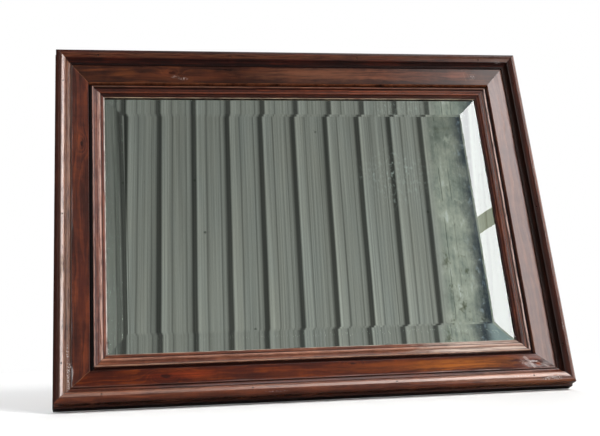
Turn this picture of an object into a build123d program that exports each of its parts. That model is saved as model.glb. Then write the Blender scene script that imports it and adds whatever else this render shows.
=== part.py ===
from build123d import *
import math
import os

# Countertop mirror: a bevelled mirror in a four-layer wooden frame, leaning back on a
# folding strut.  Millimetres, +Z up, the face looks towards -Y, +X is the right of the
# face.  The origin is the middle of the line on which the frame's rear bottom edge
# (taken as square) touches the countertop.

os.makedirs("parts", exist_ok=True)

# ---- stance, in degrees ----
LEAN = 18.0                     # the face leans back from upright
OPEN = 32.0                     # strut opened from the back of the frame

# ---- plan sizes; OUT_ values run outwards from the frieze's inner edge ----
INNER_W, INNER_H = 567.0, 403.0  # rectangle along that edge
HALF_W, HALF_H = INNER_W / 2, INNER_H / 2
OUT_BASE = 44.0                 # outer side of the lower board
OUT_MOULD = 42.5                # outer side of the outer moulding
OUT_FRIEZE = 21.5               # outer side of the frieze
OUT_GROOVE = -4.5               # outer side of the inner moulding
OUT_SIGHT = -21.0               # sight edge
OUT_REBATE = -12.65             # rebate wall
OUT_GLASS = -14.65              # edge of the glass

# ---- levels, from the frieze's inner edge, positive to the front ----
LEVEL_BACK = -18.0              # back of the frame
LEVEL_SEAT = -6.5               # seat of frieze and inner moulding
LEVEL_SHOULDER = -1.2           # shoulder that carries the outer moulding
LEVEL_FRIEZE = 8.4              # outer, high edge of the frieze
LEVEL_CREST = 17.0              # crest of the outer moulding

# ---- planes of the leaning frame ----
lean = math.radians(LEAN)
FRONT = Vector(0, -math.cos(lean), math.sin(lean))   # out of the face
UP = Vector(0, math.sin(lean), math.cos(lean))       # up the face
RIGHT = Vector(1, 0, 0)
MID_Y = OUT_BASE + HALF_H                            # centre of the face, up the face


def face_point(x, y, level):
    """Point x to the right, y up the face from the bottom edge, at a level."""
    return RIGHT * x + UP * y + FRONT * (level - LEVEL_BACK)


CENTRE = Plane(origin=face_point(0, MID_Y, 0), x_dir=RIGHT, z_dir=FRONT)
# seen from behind: local x to the left of the face, y up the face, z backwards
BACK = Plane(origin=face_point(0, 0, LEVEL_BACK), x_dir=RIGHT * -1, z_dir=FRONT * -1)
BACKWARDS = Axis(BACK.origin, BACK.z_dir)

# outward direction, half length along the frieze's inner edge, middle of that edge
SIDES = {
    "top": (UP, HALF_W, face_point(0, MID_Y + HALF_H, 0)),
    "bottom": (UP * -1, HALF_W, face_point(0, MID_Y - HALF_H, 0)),
    "left": (RIGHT * -1, HALF_H, face_point(-HALF_W, MID_Y, 0)),
    "right": (RIGHT, HALF_H, face_point(HALF_W, MID_Y, 0)),
}

# ---- fits and cuts shared by several pieces ----
LOOSE = 0.02                    # gap round a driven shank
BORE_EXTRA = 0.2                # a blind hole is deeper than its pin or screw by this
BORE_L = 20                     # length of a cut that runs out of the wood
SLOT_CUT = 3                    # height of the cut that makes a screw slot
AXIS_CUT = 40                   # half length of the cut along the strut's hinge

# ---- panel pins ----
PIN_R = 0.7
PIN_HEAD_R = 1.05
PIN_OUT = 33.0
PIN_TIP = -11.0                 # level of the tip
PIN_L = 24.4
PIN_HEAD_LEVEL, PIN_HEAD_T = 13.25, 0.9
PIN_HEAD_BORE = 13.2            # level of the floor of the head's hole
# positions along each rail, from its middle
PIN_STEPS = {
    "top": (-270, -90, 90, 270),
    "bottom": (-270, -90, 90, 270),
    "left": (-195, 0, 195),
    "right": (-195, 0, 195),
}

# ---- corner keys: L shapes let into the back across the mitres, two at each corner ----
KEY_ARM, KEY_T, KEY_DEPTH = 9.0, 0.7, 8.0
KEY_INSET = 0.1                 # keys end this far inside the back
# corner of each key in BACK coordinates, and the directions of its arms
KEY_SITES = [
    (side_x * (HALF_W + out), MID_Y + side_y * (HALF_H + out), -side_x, -side_y)
    for side_x in (-1, 1)
    for side_y in (-1, 1)
    for out in (4.0, 31.0)
]

# ---- screws of the turn buttons and hangers ----
SCREW_R = 1.48
SCREW_DEPTH = 10.0

# ---- turn buttons ----
BUTTON_T, BUTTON_W, BUTTON_L = 1.5, 11.0, 25.0
BUTTON_GAP = 0.1                # between back and button, and button and screw head
BUTTON_CHAMFER = 0.35
BUTTON_IN = 6.0                 # pivot, inwards from the frieze's inner edge
BUTTON_X = 150.0                # of the top and bottom buttons
BUTTON_TOP = MID_Y + HALF_H - BUTTON_IN
BUTTON_BOTTOM = MID_Y - HALF_H + BUTTON_IN
# pivot x, y and pointing direction in degrees, all in BACK coordinates
BUTTONS = {
    "top_left": (BUTTON_X, BUTTON_TOP, -90.0),
    "top_right": (-BUTTON_X, BUTTON_TOP, -90.0),
    "bottom_left": (BUTTON_X, BUTTON_BOTTOM, 90.0),
    "bottom_right": (-BUTTON_X, BUTTON_BOTTOM, 90.0),
    "left": (HALF_W - BUTTON_IN, MID_Y, 180.0),
    "right": (-(HALF_W - BUTTON_IN), MID_Y, 0.0),
}
BUTTON_SITES = [(x, y) for x, y, angle in BUTTONS.values()]

# ---- hangers ----
STRAP_W, STRAP_L, STRAP_T = 12.0, 44.0, 1.2
LOOP_R_IN, LOOP_R_OUT = 1.2, 2.4
RING_WIRE_R = 1.12
RING_HALF_W = 10                # of the wire's centre line, also its top arc's radius
RING_CORNER_R = 3
RING_SIDE_TOP = 8               # where the straight sides end, above the loop's axis
HANGER_X, HANGER_Y = HALF_W + 16.0, 372.0
HANGER_AXIS = 2.5               # ring axis behind the frame's back
STRAP_BACK = HANGER_AXIS - LOOP_R_OUT   # strap's front face, behind the frame's back
STRAP_SCREW_DROPS = (14.0, 34.0)        # below the ring axis
HANGER_SCREWS = [(sign * HANGER_X, HANGER_Y - drop)
                 for sign in (-1, 1) for drop in STRAP_SCREW_DROPS]

# ---- strut and its bracket ----
PIVOT_Y, PIVOT_BACK = 330.0, 6.5    # up the back from the bottom edge, and behind it
STRUT_T = 9.0
STRUT_TOP_W, STRUT_FOOT_W = 36.0, 66.0
STRUT_HEAD = 12                 # blank above the pivot, before its bevel
STRUT_NECK = -28                # the strut widens below this
STRUT_SPARE = 20                # blank beyond the countertop, cut off
STRUT_ROUND = 2.0               # on its long edges
LONG_EDGE = 250                 # only the long edges are longer
PAD_T = 5.0
HINGE_PIN_R = 2.0
HINGE_HEAD_R = 3.2
STOP_GAP = 1.6                  # strut's bevelled head to the frame's back, open
PLATE_W, PLATE_H, PLATE_CORNER_R = 64, 42, 5
EAR_T = 1.5                     # thickness of the ears and of the plate
EAR_R = 5
EAR_FOOT = 11                   # half length of an ear at the plate
EAR_X = STRUT_TOP_W / 2 + 0.3   # inner side of an ear
BRACKET_SCREW_R = 1.28
BRACKET_SCREW_DEPTH = 3.8
BRACKET_SCREWS = [(x, PIVOT_Y + y) for y in (-14.0, 14.0) for x in (-26.0, 26.0)]

PIVOT = BACK.from_local_coords((0, PIVOT_Y, PIVOT_BACK))
tilt = math.radians(OPEN - LEAN)
# local x to the right, y up the strut, z towards the frame
STRUT = Plane(origin=PIVOT, x_dir=RIGHT, z_dir=Vector(0, -math.cos(tilt), -math.sin(tilt)))
# across the hinge: local x up the face, y to the front
PIVOT_AXIS = Plane(origin=PIVOT, x_dir=UP, z_dir=RIGHT)
REACH = PIVOT.Z / math.cos(tilt)    # pivot to countertop along the strut
STRUT_OUTLINE = [
    (-STRUT_TOP_W / 2, STRUT_HEAD),
    (STRUT_TOP_W / 2, STRUT_HEAD),
    (STRUT_TOP_W / 2, STRUT_NECK),
    (STRUT_FOOT_W / 2, -REACH - STRUT_SPARE),
    (-STRUT_FOOT_W / 2, -REACH - STRUT_SPARE),
    (-STRUT_TOP_W / 2, STRUT_NECK),
]

# ---- sections of the four layers: (outwards, level) ----
# A start point, then the moves: one point is a line to it, a pair of points is an arc
# through the first to the second.
BASE_SECTION = (
    (OUT_REBATE, LEVEL_BACK),
    [
        (OUT_BASE - 1.0, LEVEL_BACK),
        ((OUT_BASE - 0.3, LEVEL_BACK + 0.3), (OUT_BASE, LEVEL_BACK + 1.0)),
        (OUT_BASE, LEVEL_SHOULDER - 1.0),
        ((OUT_BASE - 0.25, LEVEL_SHOULDER - 0.3), (OUT_BASE - 0.9, LEVEL_SHOULDER)),
        (OUT_FRIEZE, LEVEL_SHOULDER),
        (OUT_FRIEZE, LEVEL_SEAT),
        (OUT_REBATE, LEVEL_SEAT),
    ],
)
OUTER_SECTION = (
    (OUT_FRIEZE, LEVEL_SHOULDER),
    [
        (OUT_FRIEZE, 9.3),
        ((21.8, 9.75), (22.3, 9.9)),
        (22.9, 9.9),
        (23.2, 9.1),
        (23.8, 9.1),
        ((26.4, 10.4), (28.6, 13.2)),
        ((29.15, 14.15), (30.0, 14.85)),
        (34.6, 16.52),
        ((37.45, LEVEL_CREST), (40.3, 16.49)),
        ((41.91, 15.28), (OUT_MOULD, 13.4)),
        (OUT_MOULD, 1.2),
        ((42.35, 0.7), (41.9, 0.5)),
        (41.5, 0.5),
        (41.5, LEVEL_SHOULDER),
    ],
)
FRIEZE_SECTION = (
    (0.0, LEVEL_SEAT),
    [
        (0.0, -0.7),
        ((0.2, -0.1), (0.9, 0.352)),
        (OUT_FRIEZE, LEVEL_FRIEZE),
        (OUT_FRIEZE, LEVEL_SEAT),
    ],
)
INNER_SECTION = (
    (OUT_GROOVE, LEVEL_SEAT),
    [
        (OUT_GROOVE, -1.3),
        ((-5.65, 0.0), (-6.9, -1.1)),
        (-7.1, -1.9),
        ((-9.1, -2.9), (-11.6, -3.0)),
        (-11.8, -3.4),
        ((-13.7, -1.9), (-15.8, -3.5)),
        (-16.0, -4.1),
        (-18.7, -4.5),
        (-18.9, -5.0),
        (-20.3, -5.1),
        ((-20.8, -5.25), (OUT_SIGHT, -5.7)),
        (OUT_SIGHT, LEVEL_SEAT),
    ],
)


def save(builder, name):
    """Labels a finished piece and writes its file."""
    builder.part.label = name
    export_step(builder.part, f"parts/{name}.step")


# ------------------------------------------------------------------
# Frame rails.  trace, key_outline and extrude_mitred act on the
# builder that is open where they are called.
# ------------------------------------------------------------------
def section_plane(side):
    """Plane across a rail: local x outwards, local y to the front."""
    out, half, mid = SIDES[side]
    return Plane(origin=mid, x_dir=out, z_dir=out.cross(FRONT))


def trace(start, moves):
    """Draws a closed moulding section."""
    here = start
    for move in moves:
        if isinstance(move[0], tuple):
            ThreePointArc(here, move[0], move[1])
            here = move[1]
        else:
            Line(here, move)
            here = move
    Line(here, start)


def extrude_mitred(side):
    """Extrudes the section just drawn past both corners and cuts the mitres."""
    out, half, mid = SIDES[side]
    along = out.cross(FRONT)
    extrude(amount=half + 60, both=True)
    for end in (along, along * -1):
        mitre = Plane(origin=mid + end * half, z_dir=end - out)
        split(bisect_by=mitre, keep=Keep.BOTTOM)


def key_outline(x, y, arm_x, arm_y, grow):
    """An L on the back plane, its corner on the mitre and its arms along the rails."""
    half_t = KEY_T / 2 + grow
    arm = KEY_ARM + grow
    Polyline(
        (x - arm_x * half_t, y - arm_y * half_t),
        (x + arm_x * arm, y - arm_y * half_t),
        (x + arm_x * arm, y + arm_y * half_t),
        (x + arm_x * half_t, y + arm_y * half_t),
        (x + arm_x * half_t, y + arm_y * arm),
        (x - arm_x * half_t, y + arm_y * arm),
        close=True,
    )


def pin_sites(side, level):
    """Planes facing the front at the panel pins of one rail."""
    out, half, mid = SIDES[side]
    along = RIGHT if side in ("top", "bottom") else UP
    return [
        Plane(origin=mid + out * PIN_OUT + along * step + FRONT * level,
              x_dir=RIGHT, z_dir=FRONT)
        for step in PIN_STEPS[side]
    ]


def base_rail(side):
    """Lower board, with key slots and blind holes."""
    with BuildPart() as rail:
        with BuildSketch(section_plane(side)):
            with BuildLine():
                trace(*BASE_SECTION)
            make_face()
        extrude_mitred(side)
        for site in KEY_SITES:
            with BuildSketch(BACK.offset(-KEY_DEPTH - LOOSE)):
                with BuildLine():
                    key_outline(*site, grow=LOOSE)
                make_face()
            extrude(amount=KEY_DEPTH + 5, mode=Mode.SUBTRACT)
        for site in pin_sites(side, PIN_TIP - BORE_EXTRA):
            with BuildSketch(site):
                Circle(PIN_R + LOOSE)
            extrude(amount=BORE_L, mode=Mode.SUBTRACT)
        # pilot holes for the turn buttons and the hangers
        with BuildSketch(BACK.offset(-SCREW_DEPTH - BORE_EXTRA)):
            with Locations(*BUTTON_SITES, *HANGER_SCREWS):
                Circle(SCREW_R + LOOSE)
        extrude(amount=BORE_L, mode=Mode.SUBTRACT)
    save(rail, "base_rail_" + side)


def outer_moulding(side):
    """Crested moulding, bored for the panel pins and their heads."""
    with BuildPart() as moulding:
        with BuildSketch(section_plane(side)):
            with BuildLine():
                trace(*OUTER_SECTION)
            make_face()
        extrude_mitred(side)
        for site in pin_sites(side, LEVEL_SHOULDER - 5):
            with BuildSketch(site):
                Circle(PIN_R + LOOSE)
            extrude(amount=BORE_L, mode=Mode.SUBTRACT)
        for site in pin_sites(side, PIN_HEAD_BORE):
            with BuildSketch(site):
                Circle(PIN_HEAD_R + LOOSE)
            extrude(amount=10, mode=Mode.SUBTRACT)
    save(moulding, "outer_moulding_" + side)


def plain_moulding(layer, side, profile):
    """A layer without holes: frieze or inner moulding."""
    with BuildPart() as moulding:
        with BuildSketch(section_plane(side)):
            with BuildLine():
                trace(*profile)
            make_face()
        extrude_mitred(side)
    save(moulding, f"{layer}_{side}")


def corner_keys():
    with BuildPart() as keys:
        for site in KEY_SITES:
            with BuildSketch(BACK.offset(-KEY_DEPTH)):
                with BuildLine():
                    key_outline(*site, grow=0.0)
                make_face()
            extrude(amount=KEY_DEPTH - KEY_INSET)
    save(keys, "corner_keys")


def panel_pins():
    with BuildPart() as pins:
        for side in SIDES:
            for site in pin_sites(side, PIN_TIP):
                with BuildSketch(site):
                    Circle(PIN_R)
                extrude(amount=PIN_L)
            for site in pin_sites(side, PIN_HEAD_LEVEL):
                with BuildSketch(site):
                    Circle(PIN_HEAD_R)
                extrude(amount=PIN_HEAD_T)
    save(pins, "panel_pins")


for side in SIDES:
    base_rail(side)
    outer_moulding(side)
    plain_moulding("frieze", side, FRIEZE_SECTION)
    plain_moulding("inner_moulding", side, INNER_SECTION)
corner_keys()
panel_pins()

# ------------------------------------------------------------------
# Glass and what lies behind it
# ------------------------------------------------------------------
GLASS_W, GLASS_H = INNER_W + 2 * OUT_GLASS, INNER_H + 2 * OUT_GLASS
GLASS_T = 5.0
GLASS_FRONT = -4.6              # level
GLASS_BACK = GLASS_FRONT - GLASS_T
BEVEL_W = 31.75                 # ground bevel, part of it under the lip
BEVEL_EDGE_T = 2.5              # glass left at the edge
SILVER_T = 0.1
SILVER_IN = 0.3                 # silver's edge inside the glass's
CARD_T = 3.2
CARD_IN = 1.0                   # cushion sheet's edge inside the glass's
CARD_CORNER_R = 3
BLOCK_L, BLOCK_T = 40.0, 5.6
BLOCK_BACK = -12.6              # level
BLOCK_SLACK = 0.1
BLOCK_X, BLOCK_Y = 165, 110     # of blocks on the long and the short sides
BOARD_T = 5.0
BOARD_GAP = 0.6                 # back board's edge to the rebate wall


def mirror_glass():
    """A thin edge, then the ground bevel up to the flat field."""
    with BuildPart() as glass:
        with BuildSketch(CENTRE.offset(GLASS_BACK)):
            Rectangle(GLASS_W, GLASS_H)
        extrude(amount=BEVEL_EDGE_T)
        with BuildSketch(CENTRE.offset(GLASS_BACK + BEVEL_EDGE_T)):
            Rectangle(GLASS_W, GLASS_H)
        with BuildSketch(CENTRE.offset(GLASS_FRONT)):
            Rectangle(GLASS_W - 2 * BEVEL_W, GLASS_H - 2 * BEVEL_W)
        loft(ruled=True)
    save(glass, "mirror_glass")


def silver_coat():
    with BuildPart() as coat:
        with BuildSketch(CENTRE.offset(GLASS_BACK - SILVER_T)):
            Rectangle(GLASS_W - 2 * SILVER_IN, GLASS_H - 2 * SILVER_IN)
        extrude(amount=SILVER_T)
    save(coat, "silver_coat")


def spacer_blocks():
    """Blocks that centre the glass in the rebate, two on each side."""
    width = OUT_REBATE - OUT_GLASS - BLOCK_SLACK
    edge_x = HALF_W + (OUT_REBATE + OUT_GLASS) / 2
    edge_y = HALF_H + (OUT_REBATE + OUT_GLASS) / 2
    with BuildPart() as blocks:
        with BuildSketch(CENTRE.offset(BLOCK_BACK)):
            with Locations(*[(x, y) for x in (-edge_x, edge_x) for y in (-BLOCK_Y, BLOCK_Y)]):
                Rectangle(width, BLOCK_L)
            with Locations(*[(x, y) for y in (-edge_y, edge_y) for x in (-BLOCK_X, BLOCK_X)]):
                Rectangle(BLOCK_L, width)
        extrude(amount=BLOCK_T)
    save(blocks, "spacer_blocks")


def cushion_sheet():
    with BuildPart() as sheet:
        with BuildSketch(CENTRE.offset(GLASS_BACK - SILVER_T - CARD_T - LOOSE)):
            RectangleRounded(GLASS_W - 2 * CARD_IN, GLASS_H - 2 * CARD_IN, CARD_CORNER_R)
        extrude(amount=CARD_T)
    save(sheet, "cushion_sheet")


def back_board():
    """Board flush with the frame's back, with blind holes for the bracket screws."""
    with BuildPart() as board:
        with BuildSketch(CENTRE.offset(LEVEL_BACK)):
            Rectangle(INNER_W + 2 * (OUT_REBATE - BOARD_GAP),
                      INNER_H + 2 * (OUT_REBATE - BOARD_GAP))
        extrude(amount=BOARD_T - LOOSE)
        with BuildSketch(BACK.offset(-BRACKET_SCREW_DEPTH - BORE_EXTRA)):
            with Locations(*BRACKET_SCREWS):
                Circle(BRACKET_SCREW_R + LOOSE)
        extrude(amount=10, mode=Mode.SUBTRACT)
    save(board, "back_board")


mirror_glass()
silver_coat()
spacer_blocks()
cushion_sheet()
back_board()


# ------------------------------------------------------------------
# Fittings on the back
# ------------------------------------------------------------------
def slotted_screws(name, sites, shank, head, slot):
    """Round-headed screws; distances are measured backwards from the frame's back.

    shank: radius, depth, length.  head: radius, underside, height, rounding.
    slot: floor, length, width, angle.
    """
    shank_r, depth, shank_l = shank
    head_r, underside, head_t, rounding = head
    floor, slot_l, slot_w, angle = slot
    with BuildPart() as screws:
        with BuildSketch(BACK.offset(-depth)):
            with Locations(*sites):
                Circle(shank_r)
        extrude(amount=shank_l)
        with BuildSketch(BACK.offset(underside)):
            with Locations(*sites):
                Circle(head_r)
        extrude(amount=head_t)
        rims = screws.edges().filter_by(GeomType.CIRCLE).group_by(BACKWARDS)[-1]
        fillet(rims, radius=rounding)
        with BuildSketch(BACK.offset(floor)):
            with Locations(*sites):
                Rectangle(slot_l, slot_w, rotation=angle)
        extrude(amount=SLOT_CUT, mode=Mode.SUBTRACT)
    save(screws, name)


def turn_button(name, x, y, angle):
    """Tongue with round ends, turning about the centre of one of them."""
    reach = BUTTON_L - BUTTON_W / 2
    turn = math.radians(angle)
    middle = (x + math.cos(turn) * reach / 2, y + math.sin(turn) * reach / 2)
    with BuildPart() as button:
        with BuildSketch(BACK.offset(BUTTON_GAP)):
            with Locations(middle):
                SlotCenterToCenter(reach, BUTTON_W, rotation=angle)
            with Locations((x, y)):
                Circle(SCREW_R + 0.06, mode=Mode.SUBTRACT)
        extrude(amount=BUTTON_T)
        rear = button.faces().sort_by(BACKWARDS)[-1]
        chamfer(rear.outer_wire().edges(), length=BUTTON_CHAMFER)
    save(button, "turn_button_" + name)


def hanger_strap(name, x):
    """Strap with a rolled loop at its top and a round lower end."""
    loop_plane = Plane(origin=BACK.from_local_coords((x, HANGER_Y, HANGER_AXIS)),
                       x_dir=UP, z_dir=RIGHT)
    with BuildPart() as strap:
        with BuildSketch(loop_plane):
            Circle(LOOP_R_OUT)
        extrude(amount=STRAP_W / 2, both=True)
        with BuildSketch(BACK.offset(STRAP_BACK)):
            with Locations((x, HANGER_Y - STRAP_L / 2)):
                Rectangle(STRAP_W, STRAP_L)
            with Locations((x, HANGER_Y - STRAP_L)):
                Circle(STRAP_W / 2)
            with Locations(*[(x, HANGER_Y - drop) for drop in STRAP_SCREW_DROPS]):
                Circle(SCREW_R + 0.2, mode=Mode.SUBTRACT)
        extrude(amount=STRAP_T)
        with BuildSketch(loop_plane):
            Circle(LOOP_R_IN)
        extrude(amount=STRAP_W, both=True, mode=Mode.SUBTRACT)
    save(strap, "hanger_strap_" + name)


def d_ring(name, x):
    """Wire ring: straight bottom in the loop, rounded corners, half-round top."""
    flat = RING_HALF_W - RING_CORNER_R
    bend = RING_CORNER_R * math.sin(math.radians(45))
    bend_y = HANGER_Y + RING_CORNER_R - bend
    corner_y = HANGER_Y + RING_CORNER_R
    side_y = HANGER_Y + RING_SIDE_TOP
    start, end = x - RING_HALF_W, x + RING_HALF_W
    with BuildPart() as ring:
        with BuildLine(BACK.offset(HANGER_AXIS)) as path:
            Line((x - flat, HANGER_Y), (x + flat, HANGER_Y))
            ThreePointArc((x + flat, HANGER_Y), (x + flat + bend, bend_y), (end, corner_y))
            Line((end, corner_y), (end, side_y))
            ThreePointArc((end, side_y), (x, side_y + RING_HALF_W), (start, side_y))
            Line((start, side_y), (start, corner_y))
            ThreePointArc((start, corner_y), (x - flat - bend, bend_y), (x - flat, HANGER_Y))
        with BuildSketch(Plane(origin=path.line @ 0, z_dir=path.line % 0)):
            Circle(RING_WIRE_R)
        sweep(path=path.line)
    save(ring, "d_ring_" + name)


for name, (x, y, angle) in BUTTONS.items():
    turn_button(name, x, y, angle)
for name, x in (("left", HANGER_X), ("right", -HANGER_X)):
    hanger_strap(name, x)
    d_ring(name, x)
slotted_screws(
    "turn_button_screws", BUTTON_SITES,
    shank=(SCREW_R, SCREW_DEPTH, 12.0),
    head=(3.3, BUTTON_T + 2 * BUTTON_GAP, 1.9, 1.4),
    slot=(2.7, 8.0, 0.8, 35),
)
slotted_screws(
    "hanger_screws", HANGER_SCREWS,
    shank=(SCREW_R, SCREW_DEPTH, 11.5),
    head=(2.9, STRAP_BACK + STRAP_T + LOOSE, 1.5, 1.1),
    slot=(2.1, 8.0, 0.7, 70),
)
slotted_screws(
    "bracket_screws", BRACKET_SCREWS,
    shank=(BRACKET_SCREW_R, BRACKET_SCREW_DEPTH, 5.4),
    head=(2.7, EAR_T + LOOSE, 1.5, 1.1),
    slot=(2.3, 7.0, 0.7, 20),
)


# ------------------------------------------------------------------
# Strut.  Its head is bevelled, so that the bevel lies flat along the
# bracket when the strut is fully open.
# ------------------------------------------------------------------
def strut_bracket():
    """Plate with an ear on each side of the strut."""
    ear_top = -0.2                      # where the ear's slopes meet its round
    ear_bottom = PIVOT_BACK - 0.1       # inside the plate, just short of its front
    with BuildPart() as bracket:
        with BuildSketch(BACK):
            with Locations((0, PIVOT_Y)):
                RectangleRounded(PLATE_W, PLATE_H, PLATE_CORNER_R)
            with Locations(*BRACKET_SCREWS):
                Circle(BRACKET_SCREW_R + 0.25, mode=Mode.SUBTRACT)
        extrude(amount=EAR_T)
        for sign in (-1, 1):
            ear_middle = PIVOT + RIGHT * (sign * (EAR_X + EAR_T / 2))
            with BuildSketch(Plane(origin=ear_middle, x_dir=UP, z_dir=RIGHT)):
                with BuildLine():
                    Polyline(
                        (-EAR_R, ear_top),
                        (-EAR_FOOT, PIVOT_BACK - EAR_T),
                        (-EAR_FOOT, ear_bottom),
                        (EAR_FOOT, ear_bottom),
                        (EAR_FOOT, PIVOT_BACK - EAR_T),
                        (EAR_R, ear_top),
                        close=True,
                    )
                make_face()
                Circle(EAR_R)
            extrude(amount=EAR_T / 2, both=True)
        with BuildSketch(PIVOT_AXIS):
            Circle(HINGE_PIN_R + LOOSE)
        extrude(amount=AXIS_CUT, both=True, mode=Mode.SUBTRACT)
    save(bracket, "strut_bracket")


def strut_pin():
    """Hinge pin with a flat head outside each ear."""
    with BuildPart() as pin:
        with BuildSketch(PIVOT_AXIS):
            Circle(HINGE_PIN_R)
        extrude(amount=EAR_X + EAR_T + 1.0, both=True)
        for sign in (-1, 1):
            with BuildSketch(PIVOT_AXIS.offset(sign * (EAR_X + EAR_T + 0.65))):
                Circle(HINGE_HEAD_R)
            extrude(amount=0.6, both=True)
    save(pin, "strut_pin")


def strut_leg():
    with BuildPart() as leg:
        with BuildSketch(STRUT.offset(-STRUT_T / 2)):
            with BuildLine():
                Polyline(*STRUT_OUTLINE, close=True)
            make_face()
        extrude(amount=STRUT_T)
        fillet([edge for edge in leg.edges() if edge.length > LONG_EDGE], radius=STRUT_ROUND)
        # bevel the head, then cut the foot level with the top of the pad
        split(bisect_by=BACK.offset(STOP_GAP), keep=Keep.TOP)
        split(bisect_by=Plane.XY.offset(PAD_T), keep=Keep.TOP)
        with BuildSketch(PIVOT_AXIS):
            Circle(HINGE_PIN_R + 0.06)
        extrude(amount=AXIS_CUT, both=True, mode=Mode.SUBTRACT)
    save(leg, "strut")


def strut_foot_pad():
    """The slice of the square-edged blank between the countertop and the leg."""
    with BuildPart() as pad:
        with BuildSketch(STRUT.offset(-STRUT_T / 2)):
            with BuildLine():
                Polyline(*STRUT_OUTLINE, close=True)
            make_face()
        extrude(amount=STRUT_T)
        split(bisect_by=Plane.XY.offset(PAD_T), keep=Keep.BOTTOM)
        split(bisect_by=Plane.XY, keep=Keep.TOP)
    save(pad, "strut_foot_pad")


strut_bracket()
strut_pin()
strut_leg()
strut_foot_pad()
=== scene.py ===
"""A bevelled table mirror in a moulded, stained wooden frame, leaning back on a strut.

Metres, +Z up. x runs to the right and the face looks towards -Y. It leans back by LEAN, so UP
runs up the face and FACING comes out of it. Rails are laid out in millimetres: along the rail,
outwards from the frieze's inner edge, and to the front of the height of that edge.
"""

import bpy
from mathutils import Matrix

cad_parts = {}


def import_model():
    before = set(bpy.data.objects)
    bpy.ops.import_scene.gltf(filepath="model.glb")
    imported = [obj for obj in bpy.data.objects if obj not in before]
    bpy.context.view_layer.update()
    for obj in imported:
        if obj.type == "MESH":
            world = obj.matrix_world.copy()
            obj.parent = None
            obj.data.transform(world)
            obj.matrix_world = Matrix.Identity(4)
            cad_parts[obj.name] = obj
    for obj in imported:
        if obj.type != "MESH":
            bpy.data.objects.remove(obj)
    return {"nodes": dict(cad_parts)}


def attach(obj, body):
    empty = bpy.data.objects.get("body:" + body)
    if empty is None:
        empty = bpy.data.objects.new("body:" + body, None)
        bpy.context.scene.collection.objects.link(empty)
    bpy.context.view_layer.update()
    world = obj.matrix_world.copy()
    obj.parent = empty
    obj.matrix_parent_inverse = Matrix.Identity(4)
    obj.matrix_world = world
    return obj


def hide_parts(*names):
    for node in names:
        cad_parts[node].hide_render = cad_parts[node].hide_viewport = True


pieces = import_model()["nodes"]

import math
from functools import reduce

import bmesh
import bpy
from mathutils import Matrix, Vector

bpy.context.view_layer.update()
scene = bpy.context.scene

# ---------------------------------------------------------------- main sizes
LEAN = math.radians(18.0)
STRUT_TILT = math.radians(14.0)
RIGHT = Vector((1, 0, 0))
UP = Vector((0, math.sin(LEAN), math.cos(LEAN)))
FACING = Vector((0, -math.cos(LEAN), math.sin(LEAN)))
SIDES = ("top", "bottom", "left", "right")

# edges of the sections, outwards (mm)
BASE_EDGE, MOULD_EDGE, FRIEZE_EDGE = 44.0, 42.5, 21.5
GROOVE, SIGHT_EDGE, REBATE_EDGE = -4.5, -21.0, -12.65
# levels of the sections, to the front (mm)
BACK, SEAT, SHOULDER, FRIEZE_TOP, CREST = -18.0, -6.5, -1.2, 8.4, 17.0

# half sizes of the frieze's inner edge, and the face's middle above the bottom edge (m)
HALF_W, HALF_H = 0.2835, 0.2015
MID_Y = HALF_H + BASE_EDGE / 1000
BACK_M = BACK / 1000


def at(x, y, front):
    """x to the right, y up the face from the bottom edge, front out of it, in metres."""
    return RIGHT * x + UP * y + FACING * (front - BACK_M)


def rail_point(side, along, out, front):
    """A point of a rail from its millimetres."""
    along, out, front = along / 1000, out / 1000, front / 1000
    if side == "top":
        return at(along, MID_Y + HALF_H + out, front)
    if side == "bottom":
        return at(along, MID_Y - HALF_H - out, front)
    if side == "left":
        return at(-HALF_W - out, MID_Y + along, front)
    return at(HALF_W + out, MID_Y + along, front)


def half_length(side):
    """Half the rail's length at the frieze's inner edge, in millimetres."""
    return (HALF_W if side in ("top", "bottom") else HALF_H) * 1000


def linear(red, green, blue):
    """Linear colour of an 8-bit screen colour."""
    def channel(value):
        value = value / 255.0
        return value / 12.92 if value <= 0.04045 else ((value + 0.055) / 1.055) ** 2.4
    return (channel(red), channel(green), channel(blue), 1.0)


# ---------------------------------------------------------------- shader helpers
# Every helper adds its nodes to `tree`, the node tree opened last.
tree = None


def open_tree(node_tree):
    global tree
    tree = node_tree
    tree.nodes.clear()


class Value:
    """A node's output, with arithmetic that adds math nodes."""
    def __init__(self, socket):
        self.socket = socket

    def __add__(self, other):
        return calc("ADD", self, other)

    __radd__ = __add__

    def __sub__(self, other):
        return calc("SUBTRACT", self, other)

    def __rsub__(self, other):
        return calc("SUBTRACT", other, self)

    def __mul__(self, other):
        return calc("MULTIPLY", self, other)

    __rmul__ = __mul__

    def __truediv__(self, other):
        return calc("DIVIDE", self, other)


def new_node(kind, **settings):
    node = tree.nodes.new(kind)
    for key, value in settings.items():
        setattr(node, key, value)
    return node


def put(socket, value):
    """Link a Value into the socket, or set a plain number or colour on it."""
    if isinstance(value, Value):
        tree.links.new(value.socket, socket)
    elif value is not None:
        socket.default_value = value


def calc(operation, first, second=None, clamp=False):
    node = new_node("ShaderNodeMath", operation=operation, use_clamp=clamp)
    put(node.inputs[0], first)
    put(node.inputs[1], second)
    return Value(node.outputs[0])


def clamped(value):
    return calc("ADD", value, 0.0, clamp=True)


def source(kind, output):
    """One output of a new node that takes no input."""
    return Value(new_node(kind).outputs[output])


def coords():
    return source("ShaderNodeTexCoord", "Object")


def geometry(output):
    return source("ShaderNodeNewGeometry", output)


def dot(value, direction):
    node = new_node("ShaderNodeVectorMath", operation="DOT_PRODUCT")
    put(node.inputs[0], value)
    node.inputs[1].default_value = tuple(direction)
    return Value(node.outputs["Value"])


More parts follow.
